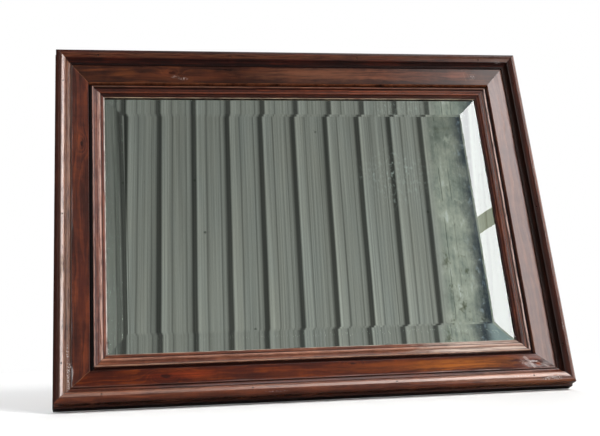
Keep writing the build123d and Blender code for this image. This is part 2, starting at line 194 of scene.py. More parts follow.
def xyz(*parts):
    node = new_node("ShaderNodeCombineXYZ")
    for socket, part in zip(node.inputs, parts):
        put(socket, part)
    return Value(node.outputs[0])


def split(vector):
    node = new_node("ShaderNodeSeparateXYZ")
    put(node.inputs[0], vector)
    return [Value(output) for output in node.outputs]


def noise(vector, detail=2, rough=0.5, scale=1.0):
    node = new_node("ShaderNodeTexNoise")
    put(node.inputs["Vector"], vector)
    node.inputs["Scale"].default_value = scale
    node.inputs["Detail"].default_value = detail
    node.inputs["Roughness"].default_value = rough
    return Value(node.outputs[0])


def noise_at(x, y, z, **settings):
    """Noise stretched by what x, y and z are divided by; a plain z picks another pattern."""
    return noise(xyz(x, y, z), **settings)


def cells(vector, scale):
    """Distance to the nearest of scattered points."""
    node = new_node("ShaderNodeTexVoronoi")
    put(node.inputs["Vector"], vector)
    node.inputs["Scale"].default_value = scale
    return Value(node.outputs["Distance"])


def ramp(factor, stops):
    """stops: position, and a colour or a grey level."""
    node = new_node("ShaderNodeValToRGB")
    elements = node.color_ramp.elements
    while len(elements) > 1:
        elements.remove(elements[-1])
    for i, (position, colour) in enumerate(stops):
        if not isinstance(colour, tuple):
            colour = (colour, colour, colour, 1.0)
        element = elements[0] if i == 0 else elements.new(position)
        element.position = position
        element.color = colour
    put(node.inputs[0], factor)
    return Value(node.outputs[0])


def mix(factor, first, second, mode="MIX"):
    node = new_node("ShaderNodeMix", data_type="RGBA", blend_type=mode)
    node.clamp_factor = True
    put(node.inputs[0], factor)
    put(node.inputs[6], first)
    put(node.inputs[7], second)
    return Value(node.outputs[2])


def step(value, low, high):
    """0 at low, 1 at high, smooth between them; low may be the larger."""
    if low > high:
        return 1.0 - step(value, high, low)
    node = new_node("ShaderNodeMapRange", interpolation_type="SMOOTHSTEP")
    put(node.inputs[0], value)
    node.inputs[1].default_value = low
    node.inputs[2].default_value = high
    return Value(node.outputs[0])


def band(value, middle, half, soft):
    """1 within half of middle, falling to 0 over soft."""
    return step(calc("ABSOLUTE", value - middle), half + soft, half)


def spot(x, y, centre_x, centre_y, radius_x, radius_y, ragged, soft):
    """1 inside an ellipse made ragged by a 0 to 1 noise, falling to 0 at its edge."""
    across, up = (x - centre_x) / radius_x, (y - centre_y) / radius_y
    reach = calc("SQRT", across * across + up * up) + (ragged - 0.5) * 1.3
    return step(reach, 1.0 + soft * 0.3, 1.0 - soft)


def strongest(values):
    """The largest of the values, or None if there are none."""
    return reduce(lambda a, b: calc("MAXIMUM", a, b), values) if values else None


def bump(height_mm):
    node = new_node("ShaderNodeBump")
    node.inputs["Strength"].default_value = 1.0
    node.inputs["Distance"].default_value = 0.001
    put(node.inputs["Height"], height_mm)
    return Value(node.outputs[0])


def surface(**inputs):
    """Principled surface; an underscore in a name stands for a space."""
    shader = new_node("ShaderNodeBsdfPrincipled")
    for key, value in inputs.items():
        put(shader.inputs[key.replace("_", " ")], value)
    output = new_node("ShaderNodeOutputMaterial")
    tree.links.new(shader.outputs[0], output.inputs[0])


def emission(strength, colour=None):
    node = new_node("ShaderNodeEmission")
    put(node.inputs[0], colour)
    put(node.inputs[1], strength)
    return node


def shader_mix(factor, first, second):
    """Material output between two shader nodes."""
    node = new_node("ShaderNodeMixShader")
    put(node.inputs[0], factor)
    output = new_node("ShaderNodeOutputMaterial")
    tree.links.new(first.outputs[0], node.inputs[1])
    tree.links.new(second.outputs[0], node.inputs[2])
    tree.links.new(node.outputs[0], output.inputs[0])


def new_material(name):
    """A material whose emptied tree is open for nodes."""
    result = bpy.data.materials.new(name)
    result.use_nodes = True
    open_tree(result.node_tree)
    return result


def dress(obj, mat):
    """The object's only material becomes mat; its mesh is left alone."""
    obj.data.materials.clear()
    obj.data.materials.append(mat)


def add_object(name, mesh_name, shape):
    """Link an object made from a bmesh, which is freed."""
    mesh = bpy.data.meshes.new(mesh_name)
    shape.to_mesh(mesh)
    shape.free()
    obj = bpy.data.objects.new(name, mesh)
    scene.collection.objects.link(obj)
    return obj


# ---------------------------------------------------------------- stained and varnished wood
def rail_coords(side):
    """Along, outwards, to the front and distance to the mitre, all in millimetres."""
    point = coords()
    x = split(point)[0] * 1000.0
    y = dot(point, UP * 1000.0)
    front = dot(point, FACING * 1000.0) + BACK
    if side == "top":
        along, out = x, y - (MID_Y + HALF_H) * 1000.0
    elif side == "bottom":
        along, out = x, (MID_Y - HALF_H) * 1000.0 - y
    elif side == "left":
        along, out = y - MID_Y * 1000.0, x * -1.0 - HALF_W * 1000.0
    else:
        along, out = y - MID_Y * 1000.0, x - HALF_W * 1000.0
    to_mitre = (out + half_length(side)) - calc("ABSOLUTE", along)
    return along, out, front, to_mitre


def growth_rings(along, out, front, shifted, seed, ring, pith, knots):
    """How far the grain wanders, the dark late wood of each ring, and the knots' hearts."""
    wander = (noise_at(shifted / 150.0, out / 46.0, seed) * 11.0
              + noise_at(shifted / 36.0, out / 12.0, seed) * 2.6)
    pith_out, pith_front = out - pith[0], front - pith[1]
    rings = calc("SQRT", pith_out * pith_out + pith_front * pith_front) + wander
    hearts = []
    for knot_along, knot_out, radius in knots:
        x, y = (along - knot_along) / (radius * 2.3), (out - knot_out) / radius
        squared = x * x + y * y
        rings = rings + calc("EXPONENT", squared * -0.55) * (radius * 2.6)
        wobble = noise_at(along / 2.4, out / 2.0, seed + 3.0)
        hearts.append(step(calc("SQRT", squared) + (wobble - 0.5) * 0.5, 0.62, 0.30))
    late = ramp(calc("FRACT", rings / ring),
                [(0.0, 0.0), (0.45, 0.12), (0.80, 0.85), (0.92, 1.0), (1.0, 0.0)])
    return wander, late, strongest(hearts)


def scratch(along, out, start, end, width, ragged):
    """A ragged straight line between two points of the rail."""
    (along0, out0), (along1, out1) = start, end
    length = math.hypot(along1 - along0, out1 - out0)
    unit_along, unit_out = (along1 - along0) / length, (out1 - out0) / length
    down_line = (along - along0) * unit_along + (out - out0) * unit_out
    off_line = ((along - along0) * -unit_out + (out - out0) * unit_along
                + (ragged - 0.5) * width * 1.2)
    return (band(off_line, 0.0, width * 0.5, width * 0.7)
            * band(down_line, length / 2, length / 2, soft=1.0))


def wood(name, side, seed, tones, ring=3.6, pith=(9.0, -38.0), gloss=0.085, coat=1.0,
         stain=(1.0, 1.0, 1.0), knots=(), blotches_and_sheen=(), wear_and_painted_light=(), painted_shade=(), scuffs=(), marks=(),
         mitre=((22, 9, 6), 0.8), grain=1.0, mottle=1.0):
    """A rail's wood; LOOKS says what the arguments hold."""
    result = new_material(name)
    along, out, front, to_mitre = rail_coords(side)
    shifted = along + seed * 517.3
    wander, late, heart = growth_rings(along, out, front, shifted, seed, ring, pith, knots)

    # fibres, pores and slow changes of tone
    drift = out + wander
    fine = noise_at(shifted / 26.0, (out + wander) / 0.8, front / 0.8, detail=4, rough=0.62)
    broad = noise_at(shifted / 95.0, (out + wander) / 2.9, front / 2.9, detail=3)
    pores = step(noise_at(shifted / 6.0, out / 0.34, front / 0.34, detail=1), 0.66, 0.76)
    cloud = noise_at(shifted / 62.0, out / 15.0, seed * 1.7, detail=3, rough=0.6)
    flame = noise_at(shifted / 8.5, out / 24.0, seed * 2.3, detail=3, rough=0.6)
    tone = (late * (0.26 * grain) + (fine - 0.5) * (0.75 * grain)
            + (broad - 0.5) * (0.75 * grain) + (cloud - 0.5) * (1.5 * mottle)
            + (flame - 0.5) * (0.42 * mottle) + 0.40)
    colour = ramp(tone, list(zip((0.0, 0.45, 1.0), (linear(*shade) for shade in tones))))
    colour = mix(pores * 0.35, colour, linear(24, 10, 7))

    # blotches of stain and patches of painted sheen, and knots, under the last wash of stain
    ragged = noise_at(along / 17.0, out / 3.6, seed + 5.0, detail=4, rough=0.65)
    for *ellipse, shade, strength in blotches_and_sheen:
        patch_mask = spot(along, out, *ellipse, ragged, soft=0.8)
        streak = step(fine + (broad - 0.5), 0.30, 0.66)
        colour = mix(patch_mask * (0.35 + 0.65 * streak) * strength, colour, linear(*shade))
    if heart is not None:
        colour = mix(heart * 0.85, colour, linear(34, 9, 5))
    colour = mix(1.0, colour, tuple(stain) + (1.0,), "MULTIPLY")

    # wear lines and painted highlights, lines of painted shade, scuffs and scratches
    breakup = noise_at(shifted / 30.0, out / 2.2, seed + 7.0, detail=4, rough=0.7)
    for place, half, shade, strength in wear_and_painted_light:
        line = band(out, place, half, half * 0.9 + 0.15) * step(breakup, 0.30, 0.62)
        colour = mix(line * strength, colour, linear(*shade))
    for place, half, shade, strength in painted_shade:
        line = (band(out, place, half, half * 0.6 + 0.2)
                * (0.75 + 0.25 * step(breakup, 0.3, 0.6)))
        colour = mix(line * strength, colour, linear(*shade))
    scuffed = []
    for *ellipse, strength in scuffs:
        patch = spot(along, out, *ellipse, ragged, soft=0.6)
        flakes = noise_at(along / 2.1, out / 1.3, seed + 11.0, detail=3, rough=0.7)
        scuffed.append(patch * step(flakes, 0.50, 0.60) * strength)
    worn = strongest(scuffed)
    if worn is not None:
        colour = mix(worn, colour, linear(178, 168, 164))
    for along0, out0, along1, out1, width, shade, strength in marks:
        line = scratch(along, out, (along0, out0), (along1, out1), width, ragged)
        gaps = step(breakup + (ragged - 0.5), 0.24, 0.5)
        colour = mix(line * gaps * strength, colour, linear(*shade))

    # the mitre joint, then dust over everything
    joint = step(to_mitre + (breakup - 0.5) * 0.35, 0.52, 0.22)
    colour = mix(joint * mitre[1], colour, linear(*mitre[0]))
    dust = step(noise_at(along / 1.4, out / 1.4, front / 1.4), 0.74, 0.80)
    colour = mix(dust * 0.14, colour, linear(150, 132, 120))

    # relief in mm; the painted shade lines and scuffs dull the varnish
    waves = noise_at(shifted / 48.0, out / 9.0, front / 9.0)
    relief = fine * 0.009 + late * 0.006 - pores * 0.010 + waves * 0.05
    if heart is not None:
        relief = relief + heart * 0.05
    dulled = strongest([band(out, place, half, half * 0.4 + 0.2) * strength
                        for place, half, _, strength in painted_shade])
    coat_weight = coat if dulled is None else (1.0 - dulled * 0.92) * coat
    rough = (fine - 0.5) * 0.22 + 0.42 + pores * 0.12
    coat_rough = (cloud - 0.5) * 0.04 + (breakup - 0.5) * 0.06 + gloss
    if worn is not None:
        rough = rough + worn * 0.3
        coat_rough = coat_rough + worn * 0.35
    surface(Base_Color=colour, Roughness=clamped(rough), Coat_Weight=coat_weight,
            Coat_Roughness=clamped(coat_rough), Coat_IOR=1.5, IOR=1.45,
            Specular_IOR_Level=0.12, Normal=bump(relief),
            Coat_Normal=bump(waves * 0.05 + fine * 0.0035))
    return result


# ---------------------------------------------------------------- rails
# Closed sections as outwards, front (mm): a start, then corners, or pairs for an arc through
# the first point to the second.
SECTIONS = {
    "base_rail": ((REBATE_EDGE, BACK), [
        (BASE_EDGE - 1.0, BACK), ((BASE_EDGE - 0.3, BACK + 0.3), (BASE_EDGE, BACK + 1.0)),
        (BASE_EDGE, SHOULDER - 1.0),
        ((BASE_EDGE - 0.25, SHOULDER - 0.3), (BASE_EDGE - 0.9, SHOULDER)),
        (FRIEZE_EDGE, SHOULDER), (FRIEZE_EDGE, SEAT), (REBATE_EDGE, SEAT)]),
    "outer_moulding": ((FRIEZE_EDGE, SHOULDER), [
        (FRIEZE_EDGE, 9.3), ((21.8, 9.75), (22.3, 9.9)), (22.9, 9.9), (23.2, 9.1), (23.8, 9.1),
        ((26.4, 10.4), (28.6, 13.2)), ((29.15, 14.15), (30.0, 14.85)), (34.6, 16.52),
        ((37.45, CREST), (40.3, 16.49)), ((41.91, 15.28), (MOULD_EDGE, 13.4)),
        (MOULD_EDGE, 1.2), ((42.35, 0.7), (41.9, 0.5)), (41.5, 0.5), (41.5, SHOULDER)]),
    "frieze": ((0.0, SEAT), [
        (0.0, -0.7), ((0.2, -0.1), (0.9, 0.352)), (FRIEZE_EDGE, FRIEZE_TOP),
        (FRIEZE_EDGE, SEAT)]),
    "inner_moulding": ((GROOVE, SEAT), [
        (GROOVE, -1.3), ((-5.65, 0.0), (-6.9, -1.1)), (-7.1, -1.9), ((-9.1, -2.9), (-11.6, -3.0)),
        (-11.8, -3.4), ((-13.7, -1.9), (-15.8, -3.5)), (-16.0, -4.1), (-18.7, -4.5),
        (-18.9, -5.0), (-20.3, -5.1), ((-20.8, -5.25), (SIGHT_EDGE, -5.7)), (SIGHT_EDGE, SEAT)]),
}
ARC_STEP, EASE, STRAIGHT_STEP = 0.55, 0.28, 2.2     # spacing on arcs, corner easing, straights
ROW_PITCH = 5.0             # between cross-sections along a rail
EASED_TURN, SHARP_EDGE = math.radians(22), math.radians(40)

# nail holes in the crest of the outer moulding: places along each rail, and the bore (mm)
HOLE_PLACES = {"top": (-270, -90, 90, 270), "bottom": (-270, -90, 90, 270),
               "left": (-195, 0, 195), "right": (-195, 0, 195)}
HOLE_OUT, HOLE_RADIUS, HOLE_FLOOR, HOLE_MOUTH, HOLE_SIDES = 33.0, 1.07, 13.2, 17.5, 20

# shallow dents: side, along, outwards, radius, depth (mm)
DENTS = [
    ("left", -205, 24, 5.0, 0.35), ("left", -226, 24.5, 4.0, 0.30),
    ("bottom", 300, 37, 6.0, 0.30), ("bottom", 286, 38, 4.0, 0.25),
    ("bottom", 276, 14, 6.0, 0.22), ("right", 60, 40, 4.0, 0.22),
    ("top", 300, 30, 4.5, 0.2), ("right", -170, 38, 5.0, 0.25), ("top", -120, 36, 4.0, 0.15),
    ("left", 60, 41, 4.0, 0.2), ("bottom", -120, 40, 5.0, 0.22)]


def arc(start, middle, end):
    """Points from start through middle to end on a circle, start left out."""
    (x0, y0), (x1, y1), (x2, y2) = start, middle, end
    square0, square1, square2 = x0 * x0 + y0 * y0, x1 * x1 + y1 * y1, x2 * x2 + y2 * y2
    divisor = 2 * (x0 * (y1 - y2) + x1 * (y2 - y0) + x2 * (y0 - y1))
    centre_x = (square0 * (y1 - y2) + square1 * (y2 - y0) + square2 * (y0 - y1)) / divisor
    centre_y = (square0 * (x2 - x1) + square1 * (x0 - x2) + square2 * (x1 - x0)) / divisor
    radius = math.hypot(x0 - centre_x, y0 - centre_y)
    first, via, last = (math.atan2(y - centre_y, x - centre_x) for x, y in (start, middle, end))
    span = (last - first) % (2 * math.pi)
    if not 0 < (via - first) % (2 * math.pi) < span:
        span -= 2 * math.pi
    count = max(4, math.ceil(abs(span) * radius / ARC_STEP))
    return [(centre_x + radius * math.cos(first + span * i / count),
             centre_y + radius * math.sin(first + span * i / count))
            for i in range(1, count + 1)]


def outline(kind):
    """The closed section with its corners eased and its long straights divided."""
    start, moves = SECTIONS[kind]
    points = [start]
    for move in moves:
        if isinstance(move[0], tuple):
            points += arc(points[-1], *move)
        else:
            points.append(move)
    eased = []
    for i in range(len(points)):
        corner = Vector(points[i])
        before, after = corner - Vector(points[i - 1]), Vector(points[(i + 1) % len(points)]) - corner
        if abs(before.angle_signed(after, 0.0)) > EASED_TURN:
            cut = min(EASE, 0.3 * before.length, 0.3 * after.length)
            enter, leave = corner - before.normalized() * cut, corner + after.normalized() * cut
            eased += [enter, (enter + leave) / 4 + corner / 2, leave]
        else:
            eased.append(corner)
    divided = []
    for i, point in enumerate(eased):
        divided.append(point)
        following = eased[(i + 1) % len(eased)]
        extra = int((following - point).length // STRAIGHT_STEP)
        divided += [point.lerp(following, j / (extra + 1)) for j in range(1, extra + 1)]
    return [(point.x, point.y) for point in divided]


def outward_normals(profile):
    normals = []
    for i in range(len(profile)):
        before, after = profile[i - 1], profile[(i + 1) % len(profile)]
        tangent = Vector((after[0] - before[0], after[1] - before[1])).normalized()
        normals.append(Vector((tangent.y, -tangent.x)))
    area = sum(profile[i - 1][0] * point[1] - point[0] * profile[i - 1][1]
               for i, point in enumerate(profile))
    return [normal * -1 for normal in normals] if area < 0 else normals


def ripple(along, out, seed):
    """Gentle hand-planed unevenness, in millimetres, never outwards."""
    wave = (math.sin(along * 0.041 + seed * 1.9 + out * 0.05)
            + 0.6 * math.sin(along * 0.097 + seed * 4.1)
            + 0.4 * math.sin(along * 0.23 + out * 0.31 + seed))
    return (wave / 2.0 - 1.0) * 0.035


def make_rail(kind, side, seed):
    """One mitred length of a section, rippled and dented away from its ends."""
    profile = outline(kind)
    normals = outward_normals(profile)
    half = half_length(side)
    count = int(round(2 * half / ROW_PITCH))
    dents = [dent[1:] for dent in DENTS if dent[0] == side]
    shape = bmesh.new()
    rows = []
    for i in range(count + 1):
        row = []
        for (out, front), normal in zip(profile, normals):
            along = (-1 + 2 * i / count) * (half + out)
            fade = min(1.0, (half + out - abs(along)) / 12.0)
            push = ripple(along, out, seed) * fade * (1.0 if normal.y > -0.2 else 0.0)
            for dent_along, dent_out, radius, depth in dents:
                if normal.y > -0.3:
                    reach = math.hypot((along - dent_along) / 1.6, out - dent_out) / radius
                    if reach < 1:
                        push -= depth * (1 - reach * reach) ** 2 * fade
            row.append(shape.verts.new(rail_point(
                side, along, out + normal.x * push, front + normal.y * push)))
        rows.append(row)
    around = len(profile)
    for row, following in zip(rows, rows[1:]):
        for j in range(around):
            k = (j + 1) % around
            shape.faces.new((row[j], row[k], following[k], following[j]))
    shape.faces.new(rows[0])
    shape.faces.new(rows[-1])
    bmesh.ops.recalc_face_normals(shape, faces=shape.faces)
    for face in shape.faces:
        face.smooth = len(face.verts) == 4
    for edge in shape.edges:
        if len(edge.link_faces) == 2 and edge.calc_face_angle(0.0) > SHARP_EDGE:
            edge.smooth = False
    rail = add_object(f"{kind}_{side}_piece", f"{kind}_{side}_shape", shape)
    if kind == "outer_moulding":
        drill(rail, side)
    weighted = rail.modifiers.new("keep_flats_flat", "WEIGHTED_NORMAL")
    weighted.keep_sharp = True
    weighted.weight = 60
    return rail


def drill(rail, side):
    """Nail holes in the crest, each with a slightly uneven mouth."""
    shape = bmesh.new()
    for place in HOLE_PLACES[side]:
        floor_ring, mouth_ring = [], []
        for i in range(HOLE_SIDES):
            angle = 2 * math.pi * i / HOLE_SIDES
            uneven = 1.0 + 0.05 * math.sin(3 * angle + place)
            for ring, radius, front in ((floor_ring, HOLE_RADIUS, HOLE_FLOOR),
                                        (mouth_ring, HOLE_RADIUS * uneven, HOLE_MOUTH)):
                ring.append(shape.verts.new(rail_point(
                    side, place + radius * math.cos(angle),
                    HOLE_OUT + radius * math.sin(angle), front)))
        for i in range(HOLE_SIDES):
            j = (i + 1) % HOLE_SIDES
            shape.faces.new((floor_ring[i], floor_ring[j], mouth_ring[j], mouth_ring[i]))
        shape.faces.new(floor_ring)
        shape.faces.new(mouth_ring)
    bmesh.ops.recalc_face_normals(shape, faces=shape.faces)
    cutter = add_object("drill_" + side, "drill", shape)
    cut = rail.modifiers.new("nail_holes", "BOOLEAN")
    cut.operation, cut.solver, cut.object = "DIFFERENCE", "EXACT", cutter
    depsgraph = bpy.context.evaluated_depsgraph_get()
    drilled = bpy.data.meshes.new_from_object(rail.evaluated_get(depsgraph))
    rail.modifiers.clear()
    rail.data = drilled
    bpy.data.objects.remove(cutter)


# Looks of the rails. Lengths in mm, colours 8-bit, strengths 0 to 1.
#   tones: dark, middle and light stain    stain: a last wash, red, green and blue
#   ring: ring spacing    pith: its outwards, front    gloss: coat roughness    coat: its weight
#   knots: along, out, radius    blotches_and_sheen: stain blotches and patches of painted sheen, along, out, two radii, colour, strength
#   wear_and_painted_light: worn lines, painted highlights and painted light; painted_shade: lines of
#       painted shade in creases, quirks and on faces turned from the light; both at out, half width,
#       colour, strength
#   scuffs: along, out, two radii, strength    mitre: joint colour, strength
#   marks: scratch from along, out to along, out, width, colour, strength
#   grain, mottle: strength of the fibres and of the clouds
BOARD = ((20, 9, 8), (38, 17, 13), (70, 34, 22))
LOOKS = {
    ("frieze", "top"): dict(
        stain=(0.98, 1.0, 0.86), tones=((26, 12, 9), (48, 23, 15), (84, 42, 24)),
        ring=4.2, pith=(2, -60), gloss=0.07, knots=[(-170, 13, 4.2)],
        blotches_and_sheen=[
            (-236, 12, 20, 6.5, (104, 54, 28), 0.55), (-196, 8, 44, 5.0, (86, 42, 24), 0.5),
            (-178, 13, 16, 5.0, (98, 48, 28), 0.45), (-120, 9, 50, 6, (86, 42, 26), 0.45),
            (236, 13, 20, 6.0, (124, 68, 52), 0.5), (196, 10, 26, 8.0, (96, 50, 34), 0.4),
            (40, 12, 120, 9, (108, 66, 48), 0.65), (150, 12, 60, 9, (112, 64, 46), 0.5),
            (-60, 15, 30, 5, (40, 18, 12), 0.4)],
        # the pale line at the inner edge is painted light on the eased arris and the groove wall
        # below it
        wear_and_painted_light=[(0.05, 0.1, (150, 88, 58), 0.9)],
        scuffs=[(-156, 5.5, 7, 2.2, 0.5), (-166, 8, 6, 2.4, 0.35), (262, 12, 5, 5, 0.4)],
        marks=[(246, 20, 252, 6, 0.5, (128, 100, 90), 0.22),
               (252, 19, 258, 7, 0.4, (128, 100, 90), 0.18),
               (258, 20, 262, 10, 0.4, (60, 30, 22), 0.35)],
        mitre=((20, 9, 7), 0.9)),
    ("frieze", "bottom"): dict(
        stain=(0.62, 0.50, 0.20), tones=((40, 13, 8), (76, 28, 13), (124, 58, 20)),
        ring=2.6, pith=(14, -50), gloss=0.055, coat=0.7, knots=[(-193, 11, 6.0), (40, 4, 3.5)],
        blotches_and_sheen=[
            (-160, 10, 34, 6.5, (150, 60, 18), 0.8), (-195, 11, 26, 6, (124, 42, 16), 0.6),
            (110, 10, 120, 8.5, (134, 72, 22), 0.8), (180, 12, 80, 8.5, (176, 108, 46), 0.9),
            (200, 5, 70, 4.0, (150, 92, 40), 0.6), (283, 15.5, 5, 3.2, (164, 78, 34), 0.9),
            (-78, 15, 70, 5, (50, 20, 12), 0.5), (20, 8, 40, 5, (104, 44, 18), 0.5)],
        scuffs=[(266, 12, 9, 7, 0.2), (293, 17, 5, 4, 0.3)],
        marks=[(267, 4, 277, 20, 2.3, (168, 150, 144), 0.40),
               (261, 8, 269, 19, 1.1, (140, 116, 106), 0.18),
               (281, 12, 296, 20, 1.2, (160, 142, 134), 0.28),
               (284, 10, 292, 20.5, 0.5, (40, 18, 12), 0.7)],
        mitre=((16, 7, 5), 0.9)),
    ("frieze", "left"): dict(
        stain=(0.46, 0.33, 0.15), tones=((40, 14, 9), (78, 32, 17), (136, 66, 28)),
        gloss=0.05, coat=0.45, pith=(12, -44), knots=[(106, 9, 4.2)],
        blotches_and_sheen=[
            (112, 14, 26, 6, (142, 72, 28), 0.75), (20, 15, 60, 5, (96, 46, 24), 0.5),
            (-90, 8, 70, 6, (92, 34, 16), 0.6), (160, 8, 40, 7, (70, 26, 18), 0.5)],
        mitre=((156, 104, 62), 0.55)),
    ("frieze", "right"): dict(
        stain=(0.88, 0.9, 0.9), tones=((44, 22, 18), (78, 46, 36), (120, 78, 58)),
        ring=3.4, pith=(10, -50), grain=0.8, mottle=0.6, mitre=((18, 8, 6), 0.9)),
    ("outer_moulding", "top"): dict(
        stain=(0.56, 0.42, 0.36), tones=((26, 10, 8), (48, 20, 14), (84, 36, 20)), coat=0.55,
        # the dark line at the foot is painted shade in the crease
        wear_and_painted_light=[(34, 2.2, (112, 70, 48), 0.35)], painted_shade=[(23.2, 1.3, (14, 6, 5), 0.9)],
        scuffs=[(300, 30, 6, 2, 0.5)]),
    ("outer_moulding", "bottom"): dict(
        stain=(0.78, 0.75, 0.68), tones=((40, 16, 11), (74, 34, 22), (120, 62, 38)),
        # the pale pinkish-grey blotch on the crest's right part is painted sheen; the pale line on
        # the ridge is wear and painted highlight; the dark line at the foot is painted shade in the
        # crease
        blotches_and_sheen=[(262, 41, 70, 5, (150, 96, 66), 0.7), (225, 32, 110, 6, (196, 148, 130), 0.8)],
        wear_and_painted_light=[(32, 2.0, (150, 104, 82), 0.5), (38, 3.0, (84, 50, 36), 0.3)],
        painted_shade=[(23.2, 0.8, (24, 10, 8), 0.7)],
        scuffs=[(300, 37, 10, 3.0, 0.9), (286, 38, 7, 2.4, 0.8), (255, 33, 20, 1.6, 0.5),
                (-60, 39, 16, 1.2, 0.3)]),
    ("outer_moulding", "left"): dict(
        stain=(0.62, 0.6, 0.58), tones=((34, 12, 9), (70, 30, 20), (118, 60, 36)), coat=0.75,
        # the pale lines on the ridge and the cove are painted highlight and painted light over the
        # wear; the dark lines are painted shade at the foot and on the outer face turned from the
        # light
        wear_and_painted_light=[(33.5, 1.8, (192, 152, 135), 0.66), (26.8, 3.0, (138, 98, 76), 0.5)],
        painted_shade=[(22.4, 0.8, (46, 26, 18), 0.75), (38.8, 3.4, (38, 17, 11), 0.92)],
        scuffs=[(-205, 24.5, 16, 3.0, 0.95), (-226, 24.5, 9, 2.2, 0.8), (-180, 26, 10, 1.6, 0.6)],
        mitre=((140, 100, 84), 0.3)),
    ("outer_moulding", "right"): dict(
        stain=(0.66, 0.50, 0.44), tones=((30, 12, 8), (58, 26, 17), (100, 48, 30)), coat=0.85,
        # the pale line at the outer edge is painted highlight over the wear; the dark lines are
        # painted shade over the cove and the crest's inner side
        wear_and_painted_light=[(40.5, 1.8, (150, 106, 90), 0.4)],
        painted_shade=[(26.3, 5.5, (12, 5, 3), 0.95), (34.2, 2.6, (38, 17, 12), 0.7)],
        scuffs=[(60, 40, 8, 1.5, 0.5), (-170, 38, 8, 1.5, 0.5)], mitre=((16, 7, 5), 0.9)),
    ("inner_moulding", "top"): dict(
        stain=(1.02, 1.0, 0.95), tones=((26, 9, 7), (56, 22, 13), (104, 46, 22)),
        blotches_and_sheen=[(180, -12, 110, 9, (110, 60, 38), 0.5)],
        # the pale lines on the beads and the lip are wear and painted highlight; the dark lines are
        # painted shade in the quirks and the cove
        wear_and_painted_light=[(-5.8, 0.7, (120, 84, 66), 0.5), (-13.7, 1.0, (110, 56, 34), 0.4),
              (-20.75, 0.4, (150, 134, 112), 0.9)],
        painted_shade=[(-7.6, 0.5, (12, 5, 4), 0.8), (-11.7, 0.3, (12, 5, 4), 0.8),
              (-17.5, 1.6, (20, 8, 6), 0.7)]),
    ("inner_moulding", "bottom"): dict(
        stain=(0.86, 0.97, 1.02), tones=((44, 17, 11), (88, 42, 26), (140, 78, 50)), grain=0.7,
        # the near-white blotch on the right is painted sheen; the pale lines on the beads and the lip
        # are wear and painted highlight, and the line at the groove is painted light on its wall; the
        # dark lines are painted shade in the quirks
        blotches_and_sheen=[(215, -12, 100, 14, (214, 182, 164), 0.9), (0, -12, 160, 9, (120, 74, 56), 0.4)],
        wear_and_painted_light=[(-5.8, 0.7, (160, 128, 108), 0.6), (-13.7, 1.2, (178, 130, 108), 0.5),
              (-20.75, 0.4, (160, 146, 130), 0.9), (-4.5, 0.12, (86, 44, 30), 0.9)],
        painted_shade=[(-7.4, 0.3, (22, 9, 7), 0.6), (-16.4, 0.4, (20, 8, 6), 0.7)]),
    ("inner_moulding", "left"): dict(
        stain=(0.8, 0.82, 0.84), tones=((44, 18, 14), (92, 48, 38), (140, 84, 64)),
        # the pale lines on the beads and the lip are wear and painted highlight; the dark lines are
        # painted shade in the quirks
        wear_and_painted_light=[(-5.8, 0.7, (170, 134, 120), 0.5), (-13.7, 1.3, (196, 158, 142), 0.6),
              (-20.6, 0.6, (196, 184, 176), 0.9)],
        painted_shade=[(-7.4, 0.3, (24, 9, 7), 0.6), (-16.4, 0.4, (20, 8, 6), 0.6)]),
    ("inner_moulding", "right"): dict(
        stain=(0.62, 0.56, 0.54), tones=((34, 14, 9), (74, 34, 20), (116, 60, 36)),
        # the pale line on the outer bead is wear and painted highlight; the dark lines are painted
        # shade in the quirks and on the inner slope
        wear_and_painted_light=[(-5.9, 0.9, (196, 168, 158), 0.85), (-9.6, 1.0, (112, 72, 58), 0.35)],
        painted_shade=[(-7.6, 0.5, (14, 6, 4), 0.8), (-11.7, 0.3, (12, 5, 4), 0.8),
              (-19.6, 1.2, (14, 7, 8), 0.8)]),
    # the dark line on each base rail is painted shade in the groove between the frieze and the inner
    # moulding, darkest on the left
    ("base_rail", "top"): dict(
        mottle=0.4, tones=BOARD, gloss=0.2, painted_shade=[(-2.5, 3.4, (50, 26, 16), 0.9)]),
    ("base_rail", "bottom"): dict(
        mottle=0.4, tones=((34, 18, 16), (58, 32, 27), (96, 60, 48)), gloss=0.2,
        painted_shade=[(-2.5, 3.4, (56, 25, 16), 0.9)]),
    ("base_rail", "left"): dict(
        mottle=0.4, tones=BOARD, gloss=0.25, painted_shade=[(-2.5, 3.4, (7, 3, 3), 1.0)]),
    ("base_rail", "right"): dict(
        mottle=0.4, tones=BOARD, gloss=0.2, painted_shade=[(-2.5, 3.4, (34, 18, 18), 0.95)]),
}
WOOD_SLOTS = {"base_rail": "base_wood", "frieze": "frieze_wood",
              "outer_moulding": "moulding_wood", "inner_moulding": "moulding_wood"}

seed = 0.0
for kind, slot_name in WOOD_SLOTS.items():
    for side in SIDES:
        seed += 1.0
        rail = make_rail(kind, side, seed)
        dress(rail, wood(f"{kind}_{side}_wood", side, seed, **LOOKS[kind, side]))
        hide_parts(kind + "_" + side)
        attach(rail, "frame")


# ---------------------------------------------------------------- glass and silvering
def bevelled_glass():
    result = new_material("bevelled_glass")
    surface(Base_Color=(0.955, 0.99, 0.968, 1.0), Roughness=0.0, IOR=1.52,
            Transmission_Weight=1.0)
    return result


SILVER_BACK, SILVER_FRONT = -0.0097, -0.00962
SILVER_INSET = 0.01495      # inside the frieze's inner edge
BLOOM_INSET = 0.0185        # where the silver's edge bloom is measured from


